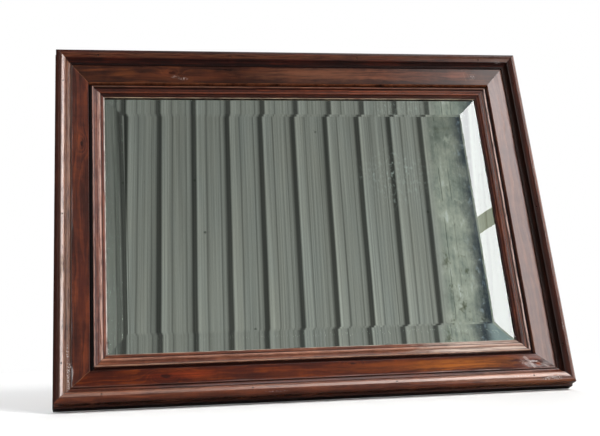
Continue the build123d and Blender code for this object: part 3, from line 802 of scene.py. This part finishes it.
def silvering():
    """Silver on the front face, spoilt at its edges, with painted reflection down the left; grey
    paint behind.
    """
    result = new_material("silvering_and_paint")
    point = coords()
    x = split(point)[0]
    y, level = dot(point, UP), dot(point, FACING) + BACK_M
    front = step(level, -0.00972, -0.00966)
    haze = noise(point, detail=4, rough=0.6, scale=14.0)
    speck = (step(cells(point, scale=55.0), 0.045, 0.02)
             * step(noise(point, scale=21.0), 0.56, 0.62))
    edge = calc("MINIMUM", (HALF_W - BLOOM_INSET) - calc("ABSOLUTE", x),
                (HALF_H - BLOOM_INSET) - calc("ABSOLUTE", y - MID_Y))
    uneven = (noise(point, detail=4, rough=0.7, scale=60.0) - 0.5) * 0.010
    bloom = step(edge + uneven, 0.0035, 0.0005)
    silver = mix(speck * 0.55, (0.90, 0.915, 0.90, 1.0), linear(70, 66, 58))
    silver = mix(bloom * 0.7, silver, linear(88, 80, 62))
    # painted reflection down the left: a dull strip at the left edge, a wavy dark line beside it and
    # a fine one further in, for the darker left bevel and a dark rib seen in it
    wave = (noise_at(y * 5.0, 0.0, 4.0, detail=3, rough=0.6) - 0.5) * 0.008
    silver = mix(step(x, -0.2500, -0.2530) * 0.26, silver, (0.28, 0.33, 0.32, 1.0))
    silver = mix(band(x + wave, -0.2480, half=0.0017, soft=0.0022) * 0.52, silver,
                 (0.20, 0.23, 0.21, 1.0))
    silver = mix(band(x, -0.2352, half=0.0005, soft=0.0006) * 0.4, silver,
                 (0.25, 0.27, 0.24, 1.0))
    paint = mix(step(haze, 0.4, 0.65), linear(96, 98, 100), linear(120, 122, 122))
    surface(Base_Color=mix(front, paint, silver), Metallic=front,
            Roughness=clamped((1.0 - front) * 0.5 + bloom * 0.25))
    return result


def make_silver_sheet():
    """A thin sheet parallel to the face, its edges eased."""
    mat = silvering()
    shape = bmesh.new()
    bmesh.ops.create_cube(shape, size=1.0)
    for vert in shape.verts:
        vert.co = at(vert.co.x * 2 * (HALF_W - SILVER_INSET),
                     MID_Y + vert.co.y * 2 * (HALF_H - SILVER_INSET),
                     SILVER_BACK + (vert.co.z + 0.5) * (SILVER_FRONT - SILVER_BACK))
    bmesh.ops.bevel(shape, geom=shape.edges[:], offset=0.00002, segments=2, affect="EDGES",
                    profile=0.5)
    bmesh.ops.recalc_face_normals(shape, faces=shape.faces)
    sheet = add_object("silvering", "silvering_shape", shape)
    dress(sheet, mat)
    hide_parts("silver_coat")
    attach(sheet, "frame")


dress(pieces["mirror_glass"], bevelled_glass())
make_silver_sheet()


# ---------------------------------------------------------------- hidden and rear pieces
def metal(name, base, tarnish, rough, brushed=(1.0, 1.0, 1.0), scale=900.0):
    """brushed: how fast the fine noise changes along x, y and z."""
    result = new_material(name)
    point = coords()
    fine = noise_at(*(part * rate for part, rate in zip(split(point), brushed)),
                    detail=4, rough=0.7, scale=scale)
    patch = noise(point, detail=4, rough=0.6, scale=160.0)
    blot = step(noise(point, detail=3, rough=0.65, scale=420.0), 0.58, 0.70)
    colour = mix(step(patch, 0.35, 0.7) * 0.35, base, tarnish)
    colour = mix(blot * 0.3, colour, tarnish)
    worn = step(geometry("Pointiness"), 0.52, 0.60)
    bright = tuple(min(1.0, channel * 1.35) for channel in base[:3]) + (1.0,)
    colour = mix(worn * 0.4, colour, bright)
    roughness = (fine - 0.5) * 0.28 + (patch - 0.5) * 0.2 + rough + blot * 0.15
    surface(Base_Color=colour, Metallic=1.0, Roughness=clamped(roughness),
            Normal=bump(fine * 0.010 + patch * 0.03))
    return result


def plywood():
    """Rotary-cut veneer on the faces, plies on the edges; lengths in mm."""
    result = new_material("back_plywood")
    point = coords()
    x = split(point)[0] * 1000.0
    y, front = dot(point, UP * 1000.0), dot(point, FACING * 1000.0) - -BACK
    wander = (noise_at(x / 230.0, y / 90.0, 3.0, detail=3, rough=0.55) * 90.0
              + noise_at(x / 60.0, y / 14.0, 4.0, detail=3, rough=0.6) * 9.0)
    late = ramp(calc("FRACT", (y + wander) / 15.0),
                [(0.0, 0.1), (0.5, 0.35), (0.85, 1.0), (1.0, 0.1)])
    fine = noise_at(x / 24.0, y / 0.7, front / 0.7, detail=4, rough=0.6)
    fleck = step(noise_at(x / 5.0, y / 0.4, 0.0, detail=1), 0.66, 0.74)
    cloud = noise_at(x / 90.0, y / 50.0, 9.0, detail=3, rough=0.6)
    face = ramp(late * 0.26 + (fine - 0.5) * 0.75 + (cloud - 0.5) * 0.9 + 0.36,
                [(0.0, linear(150, 110, 72)), (0.5, linear(190, 150, 106)),
                 (1.0, linear(212, 178, 134))])
    face = mix(fleck * 0.5, face, linear(120, 82, 50))
    ply = calc("FRACT", (front + -BACK) / 2.0)
    edge = mix(step(ply, 0.45, 0.55), linear(176, 138, 96), linear(120, 84, 54))
    on_edge = step(calc("ABSOLUTE", dot(geometry("True Normal"), FACING)), 0.6, 0.4)
    colour = mix(on_edge, face, edge)
    scuff = step(noise_at(x / 14.0, y / 14.0, 5.0, detail=5, rough=0.75), 0.62, 0.70)
    colour = mix(scuff * 0.25, colour, linear(110, 88, 66))
    surface(Base_Color=colour, Roughness=clamped((fine - 0.5) * 0.2 + 0.68),
            Normal=bump(fine * 0.03 + late * 0.006 - fleck * 0.03))
    return result


def corrugated_card():
    """Upright flutes 6.5 mm apart."""
    result = new_material("corrugated_card")
    point = coords()
    x, y = split(point)[0] * 1000.0, dot(point, UP * 1000.0)
    flute = calc("SINE", x * (2 * math.pi / 6.5))
    fibres = noise_at(x / 0.7, y / 3.0, 0.0, detail=4, rough=0.7)
    colour = ramp((fibres - 0.5) * 0.9 + flute * 0.08 + 0.5,
                  [(0.0, linear(128, 98, 66)), (0.5, linear(166, 132, 94)),
                   (1.0, linear(186, 154, 116))])
    surface(Base_Color=colour, Roughness=0.85, Normal=bump(flute * 0.12 + fibres * 0.03))
    return result


def cork():
    result = new_material("cork_blocks")
    point = coords()
    granules = cells(point, scale=520.0)
    tone = noise(point, detail=3, rough=0.6, scale=260.0)
    colour = ramp(granules * 0.9 + (tone - 0.5) * 0.7 + 0.1,
                  [(0.0, linear(92, 58, 34)), (0.45, linear(156, 112, 72)),
                   (1.0, linear(188, 146, 100))])
    surface(Base_Color=colour, Roughness=0.82, Normal=bump(granules * 0.2))
    return result


def strut_wood():
    """Stained wood with its grain down the leg; lengths in mm."""
    result = new_material("strut_stained_wood")
    point = coords()
    sin, cos = math.sin(STRUT_TILT), math.cos(STRUT_TILT)
    x = split(point)[0] * 1000.0
    along = dot(point, Vector((0, -sin, cos)) * 1000.0)
    depth = dot(point, Vector((0, cos, sin)) * 1000.0)
    wander = noise_at(along / 110.0, x / 30.0, 2.0, detail=3, rough=0.55) * 16.0
    late = ramp(calc("FRACT", (x + wander) / 5.2),
                [(0.0, 0.0), (0.5, 0.2), (0.85, 1.0), (1.0, 0.0)])
    fine = noise_at(along / 28.0, x / 0.8, depth / 0.8, detail=4, rough=0.62)
    pores = step(noise_at(along / 7.0, x / 0.36, depth / 0.36, detail=1), 0.65, 0.75)
    cloud = noise_at(along / 60.0, x / 22.0, 4.0, detail=3, rough=0.6)
    colour = ramp(late * 0.22 + (fine - 0.5) * 0.7 + (cloud - 0.5) * 0.7 + 0.36,
                  [(0.0, linear(34, 14, 9)), (0.5, linear(72, 32, 18)),
                   (1.0, linear(122, 62, 34))])
    colour = mix(pores * 0.4, colour, linear(24, 10, 7))
    broken = noise_at(along / 9.0, x / 4.0, depth / 4.0, detail=4, rough=0.7)
    rubbed = step(geometry("Pointiness"), 0.54, 0.62) * step(broken, 0.42, 0.6)
    colour = mix(rubbed * 0.6, colour, linear(150, 100, 62))
    surface(Base_Color=colour, Roughness=clamped((fine - 0.5) * 0.25 + 0.42),
            Coat_Weight=0.35, Coat_Roughness=0.25,
            Normal=bump(fine * 0.012 + late * 0.01 - pores * 0.012))
    return result


def rubber():
    result = new_material("moulded_rubber")
    point = coords()
    fine = noise(point, detail=3, rough=0.7, scale=1400.0)
    lines = calc("SINE", split(point)[0] * 3200.0)
    worn = noise(point, detail=4, rough=0.6, scale=120.0)
    colour = ramp(worn, [(0.3, linear(26, 26, 27)), (0.7, linear(58, 57, 56))])
    surface(Base_Color=colour, Roughness=clamped((fine - 0.5) * 0.3 + 0.62),
            Normal=bump(fine * 0.03 + lines * 0.05))
    return result


steel = metal("zinc_steel", base=(0.60, 0.60, 0.60, 1), tarnish=(0.34, 0.35, 0.37, 1),
              rough=0.34, brushed=(1, 0.12, 0.12))
pin_steel = metal("pin_steel", base=(0.20, 0.17, 0.15, 1), tarnish=(0.07, 0.05, 0.04, 1),
                  rough=0.5)
brass = metal("brass_plate", base=(0.66, 0.49, 0.22, 1), tarnish=(0.36, 0.24, 0.11, 1),
              rough=0.28, brushed=(1, 0.2, 0.2))
screw_brass = metal("brass_screw", base=(0.70, 0.53, 0.26, 1), tarnish=(0.32, 0.21, 0.10, 1),
                    rough=0.25, scale=1500.0)
for name in pieces:
    if (name.startswith(("turn_button_", "hanger_strap", "d_ring"))
            and name != "turn_button_screws"):
        dress(pieces[name], brass)
for name in ("turn_button_screws", "hanger_screws"):
    dress(pieces[name], screw_brass)
for name in ("strut_bracket", "strut_pin", "bracket_screws", "corner_keys"):
    dress(pieces[name], steel)
dress(pieces["panel_pins"], pin_steel)
dress(pieces["back_board"], plywood())
dress(pieces["cushion_sheet"], corrugated_card())
dress(pieces["spacer_blocks"], cork())
dress(pieces["strut"], strut_wood())
dress(pieces["strut_foot_pad"], rubber())


# ---------------------------------------------------------------- floor and world
def make_floor():
    """A pale floor that fades into white away from the mirror and is dim in reflections."""
    shape = bmesh.new()
    bmesh.ops.create_grid(shape, x_segments=1, y_segments=1, size=9.0)
    floor = add_object("floor", "floor_shape", shape)
    floor.location = (0, 0, -0.0002)
    mat = new_material("pale_floor")
    x, y, _ = split(coords())
    far = step(calc("SQRT", x * x + y * y), 0.36, 1.5)
    glossy = source("ShaderNodeLightPath", "Is Glossy Ray")
    diffuse = new_node("ShaderNodeBsdfDiffuse")
    put(diffuse.inputs[0], mix(glossy, (0.86, 0.86, 0.86, 1), (0.10, 0.10, 0.10, 1)))
    shader_mix(far, diffuse, emission(1.0 - glossy * 0.9))
    dress(floor, mat)


def make_world():
    """White to the camera, grey as light, darker still in reflections."""
    world = bpy.data.worlds.new("studio")
    scene.world = world
    world.use_nodes = True
    open_tree(world.node_tree)
    rays = new_node("ShaderNodeLightPath").outputs
    background = new_node("ShaderNodeBackground")
    dim = mix(Value(rays["Is Glossy Ray"]), (0.34, 0.345, 0.35, 1), (0.07, 0.068, 0.066, 1))
    put(background.inputs[0], mix(Value(rays["Is Camera Ray"]), dim, (1.0, 1.0, 1.0, 1)))
    output = new_node("ShaderNodeOutputWorld")
    tree.links.new(background.outputs[0], output.inputs[0])


make_floor()
make_world()

# ---------------------------------------------------------------- cards
# Emitting sheets seen only in reflections, laid out from the middle of the face: x to the
# right, y up the face, z out of it.
FACE = at(0, MID_Y, 0)
FACE_AXES = Matrix(((1, 0, 0, 0), (0, UP.y, FACING.y, 0), (0, UP.z, FACING.z, 0), (0, 0, 0, 1)))


def card(name, corners, paint):
    """paint(x, y) gives the colour and the strength."""
    mesh = bpy.data.meshes.new(name + "_shape")
    mesh.from_pydata([tuple(corner) for corner in corners], [], [tuple(range(len(corners)))])
    sheet = bpy.data.objects.new(name, mesh)
    scene.collection.objects.link(sheet)
    sheet.matrix_world = Matrix.Translation(FACE) @ FACE_AXES
    sheet.visible_camera = False
    sheet.visible_shadow = False
    sheet.visible_diffuse = False
    mat = new_material(name + "_glow")
    colour, strength = paint(*split(coords())[:2])
    shader_mix(geometry("Backfacing"), emission(strength, colour),
               new_node("ShaderNodeBsdfTransparent"))
    dress(sheet, mat)


def parallel(x0, x1, y0, y1, distance):
    """Corners of a sheet facing the mirror."""
    return [(x0, y0, distance), (x0, y1, distance), (x1, y1, distance), (x1, y0, distance)]


def plain_card(name, azimuth, elevation, half_w, half_h, colour, strength, distance=4.0):
    """An even card square to a line from the face's middle; azimuth is to the right."""
    turn, rise = math.radians(azimuth), math.radians(elevation)
    outward = Vector((math.sin(turn) * math.cos(rise), math.sin(rise),
                      math.cos(turn) * math.cos(rise)))
    across = Vector((math.cos(turn), 0, -math.sin(turn)))
    upward = outward.cross(across)
    centre = outward * distance
    corners = [centre + across * (half_w * i) + upward * (half_h * j)
               for i, j in ((-1, -1), (-1, 1), (1, 1), (1, -1))]
    card(name, corners, lambda x, y: (colour, strength))


def soft_level(x, y, bounds, fade, level, vary=None):
    """An even light whose edges fade in x and y, varied over the sheet."""
    x0, x1, y0, y1 = bounds
    amount = (step(x, x0, x0 + fade[0]) * step(x, x1, x1 - fade[0])
              * step(y, y0, y0 + fade[1]) * step(y, y1, y1 - fade[1]))
    if vary is not None:
        amount = amount * vary(x, y)
    return amount * level


def soft_card(name, bounds, distance, fade, level, colour, vary=None, lit=None):
    """lit: the light's own bounds where they differ from the sheet's."""
    card(name, parallel(*bounds, distance),
         lambda x, y: (colour, soft_level(x, y, lit or bounds, fade, level, vary)))


def ribbed(x, y):
    """Nearly upright ribs: pale faces with two fine lines, a dark groove and a light edge."""
    waver = (noise_at(x * 2.0, y * 0.8, 0.0) - 0.5) * 0.010
    place = (x - y * 0.035 + waver) / 0.1905
    phase, cell = calc("FRACT", place), calc("FLOOR", place)
    rib = ramp(phase, [(0.0, 0.18), (0.04, 0.10), (0.08, 0.18), (0.42, 0.18), (0.45, 0.10),
                       (0.48, 0.18), (0.54, 0.16), (0.62, 0.04), (0.72, 0.04), (0.78, 0.24),
                       (0.9, 0.20), (1.0, 0.18)])
    tone = rib * ramp((x + 1.0) / 3.0, [(0.0, 0.80), (1.0, 1.35)])
    streak = noise_at(x * 95.0 - y * 3.3, y * 0.6, cell, detail=3, rough=0.7)
    wide = noise_at(x * 26.0 - y * 0.9, y * 0.5, 3.0)
    tone = tone * (0.30 + 1.44 * streak) * (0.72 + 0.56 * wide)
    tone = tone * ramp((y - 0.7) / 2.4, [(0.0, 1.3), (0.5, 1.05), (1.0, 0.85)])
    tint = mix(noise_at(x * 7.0, y * 1.6, cell * 0.7, detail=3, rough=0.6),
               (1.04, 1.0, 0.88, 1), (0.95, 1.0, 0.97, 1))
    return mix(1.0, tint, tone, "MULTIPLY")


def weathered(x, y):
    """A mottled, cracked part with a dark blue edge at its right."""
    mottle = noise_at(x * 9.0, y * 5.0, 2.0, detail=5, rough=0.7)
    thin = noise_at(x * 70.0 - y * 2.4, y * 1.4, 6.0, detail=3, rough=0.7)
    old = ramp(mottle + (thin - 0.5) * 0.35,
               [(0.22, linear(90, 97, 90)), (0.42, linear(132, 137, 130)),
                (0.58, linear(158, 160, 150)), (0.8, linear(198, 202, 200))])
    blot = step(noise_at(x * 15.0, y * 11.0, 21.0, detail=5, rough=0.78), 0.53, 0.66)
    old = mix(blot * (0.34 + step(y, 1.75, 1.45) * 0.46), old, linear(76, 78, 60))
    bloom = step(noise_at(x * 12.0, y * 9.0, 25.0, detail=5, rough=0.75), 0.56, 0.70)
    old = mix(bloom * 0.5, old, linear(196, 198, 186))
    pits = step(noise_at(x * 90.0, y * 70.0, 22.0, detail=3, rough=0.7), 0.60, 0.70)
    old = mix(pits * 0.35, old, linear(92, 100, 92))
    for crack_x, strength in ((1.548, 0.6), (1.603, 0.4)):
        waver = (noise_at(y * 9.0, crack_x, 23.0, detail=4, rough=0.7) - 0.5) * 0.018
        crack = band(x - y * 0.035 + waver, crack_x, half=0.0016, soft=0.0018)
        gaps = step(noise_at(y * 14.0, crack_x, 24.0), 0.40, 0.55)
        old = mix(crack * gaps * strength, old, linear(58, 64, 58))
    shading = ramp((y - 0.7) / 2.4, [(0.0, 1.2), (0.5, 1.1), (0.75, 0.6), (1.0, 1.0)])
    old = mix(1.0, old, shading, "MULTIPLY")
    ragged = (noise_at(x * 6.0, y * 5.5, 8.0, detail=5, rough=0.7) - 0.5) * 0.16
    navy = step(x - y * 0.02 + ragged, 1.65, 1.775)
    chips = step(noise_at(x * 30.0, y * 22.0, 4.0, detail=3, rough=0.7), 0.54, 0.68)
    edge = mix(chips * 0.6, linear(36, 44, 58), linear(138, 152, 168))
    old = mix(navy * (0.92 - step(y, 1.15, 0.95) * 0.45), old, edge)
    beyond = mix(mottle, linear(92, 112, 112), linear(164, 174, 178))
    return mix(step(x, 1.80, 1.86), old, beyond)


def rib_sheet(x, y):
    """What the mirror faces: ribs, the weathered part at the right, specks and smears."""
    ragged = (noise_at(x * 5.0, y * 4.0, 1.0, detail=3, rough=0.6) - 0.5) * 0.07
    patch = step(x - y * 0.035 + ragged, 1.46, 1.55)
    colour = mix(patch, ribbed(x, y), weathered(x, y))
    specks = step(cells(xyz(x * 1.0, y * 1.0, 0.0), scale=5.5), 0.055, 0.03)
    colour = mix(specks * 0.6, colour, linear(36, 42, 34))
    smear = spot(x, y, 1.36, 2.02, 0.22, 0.20,
                 noise_at(x * 12.0, y * 9.0, 12.0, detail=4, rough=0.7), soft=0.9)
    flecks = step(noise_at(x * 46.0, y * 34.0, 13.0, detail=4, rough=0.75), 0.52, 0.66)
    return mix(smear * flecks * 0.55, colour, linear(182, 192, 188)), 1.0


TALL = (2.47, 2.79, 0.5, 3.6)


def tall_light(x, y):
    """A tall bright opening with a dim slanting bar across it."""
    slant = y - (x - 2.64) * 0.62
    clear = 1.0 - band(slant, 1.874, half=0.053, soft=0.006) * 0.86
    level = soft_level(x, y, TALL, fade=(0.03, 0.1), level=14.5)
    return mix(clear, (0.9, 1.0, 0.45, 1), (0.98, 1.0, 1.01, 1)), level * clear


card("rib_sheet", parallel(-1.6, 2.25, 0.2, 4.0, 4.0), rib_sheet)
card("tall_light", parallel(*TALL, 3.99), tall_light)
soft_card("left_light", (-1.35, -0.92, 0.3, 3.2), 3.98, fade=(0.09, 0.3), level=7.8,
          colour=(1.0, 0.95, 0.95, 1),
          vary=lambda x, y: ramp(y / 4.0, [(0.23, 0.84), (0.45, 0.96), (0.62, 1.20)]))
soft_card("low_light", (0.3, 2.7, -1.1, -0.1), 3.97, fade=(0.1, 0.2), level=4.0,
          colour=(1.0, 0.95, 0.94, 1), lit=(0.2, 2.7, -1.1, -0.1),
          vary=lambda x, y: ramp(x / 2.0, [(0.15, 0.0), (0.3, 0.04), (0.6, 0.13),
                                           (0.83, 0.62), (0.95, 1.10)]))
soft_card("high_strip", (-1.4, 3.9, 4.4, 5.6), 3.96, fade=(0.3, 0.12), level=6.0,
          colour=(1.0, 0.93, 0.9, 1),
          vary=lambda x, y: ramp((x + 1.0) / 5.0, [(0.0, 0.26), (0.25, 0.34), (0.45, 0.95),
                                                   (0.7, 1.9), (1.0, 1.9)]))
soft_card("high_right", (3.2, 4.8, 5.85, 7.8), 3.95, fade=(0.22, 0.1), level=6.0,
          colour=(1.0, 0.96, 0.95, 1))
plain_card("side_light", azimuth=70, elevation=22, half_w=1.25, half_h=1.6,
           colour=(1.0, 0.96, 0.95, 1), strength=2.6)
plain_card("back_right", azimuth=108, elevation=20, half_w=2.1, half_h=1.5,
           colour=(1.0, 0.98, 0.97, 1), strength=1.5)
soft_card("low_right", (1.7, 4.2, -2.7, -1.15), 3.94, fade=(0.6, 0.15), level=2.6,
          colour=(1.0, 0.96, 0.95, 1))
plain_card("roof_light", azimuth=62, elevation=73, half_w=1.2, half_h=0.9,
           colour=(1.0, 0.97, 0.99, 1), strength=2.0)

# ---------------------------------------------------------------- lamps
# name, place, aim, disc size (m), power (W), colour
LAMPS = [
    ("key", (1.5, -2.0, 2.3), (0, 0.05, 0.2), 1.6, 95, (1.0, 0.98, 0.95)),
    ("fill", (-2.0, -1.7, 1.7), (0, 0.05, 0.2), 1.8, 42, (0.96, 0.98, 1.0)),
    ("rear", (0.4, 2.4, 2.2), (0, 0.1, 0.2), 2.0, 55, (1, 1, 1))]
for name, place, aim, size, power, colour in LAMPS:
    light = bpy.data.lights.new(name, "AREA")
    light.shape = "DISK"
    light.size = size
    light.energy = power
    light.color = colour
    lamp = bpy.data.objects.new(name, light)
    scene.collection.objects.link(lamp)
    lamp.location = place
    lamp.rotation_mode = "QUATERNION"
    lamp.rotation_quaternion = (Vector(aim) - Vector(place)).to_track_quat("-Z", "Y")
    lamp.visible_glossy = False
    lamp.visible_transmission = False
    lamp.visible_camera = False

# ---------------------------------------------------------------- camera
# Both from the middle of the face, as right, down and into it.
CAMERA_TURN = Vector((-0.4157861937853839, -0.17138481332516908, -0.05149711424816002))
CAMERA_PLACE = Vector((-0.89969909, 1.96772484, -4.42498274)) * HALF_W


def to_world(vector):
    return RIGHT * vector[0] - UP * vector[1] - FACING * vector[2]


camera_data = bpy.data.cameras.new("camera")
camera = bpy.data.objects.new("camera", camera_data)
scene.collection.objects.link(camera)
scene.camera = camera
camera_data.sensor_width = 36.0
camera_data.lens = 63.13
camera_data.clip_start = 0.02
camera_data.clip_end = 60.0
turn = Matrix.Rotation(CAMERA_TURN.length, 3, CAMERA_TURN.normalized())
right, down, ahead = (to_world(turn[i]) for i in range(3))
eye = FACE + to_world(CAMERA_PLACE)
camera.matrix_world = Matrix([(right[i], -down[i], -ahead[i], eye[i]) for i in range(3)]
                             + [(0, 0, 0, 1)])

# ---------------------------------------------------------------- render settings
scene.view_settings.view_transform = "Standard"
scene.view_settings.look = "None"
cycles = scene.cycles
cycles.sample_clamp_indirect = 0.0
cycles.max_bounces = 14
cycles.transmission_bounces = 12
cycles.glossy_bounces = 8
cycles.transparent_max_bounces = 12
cycles.caustics_reflective = True
cycles.caustics_refractive = True
cycles.blur_glossy = 0.0
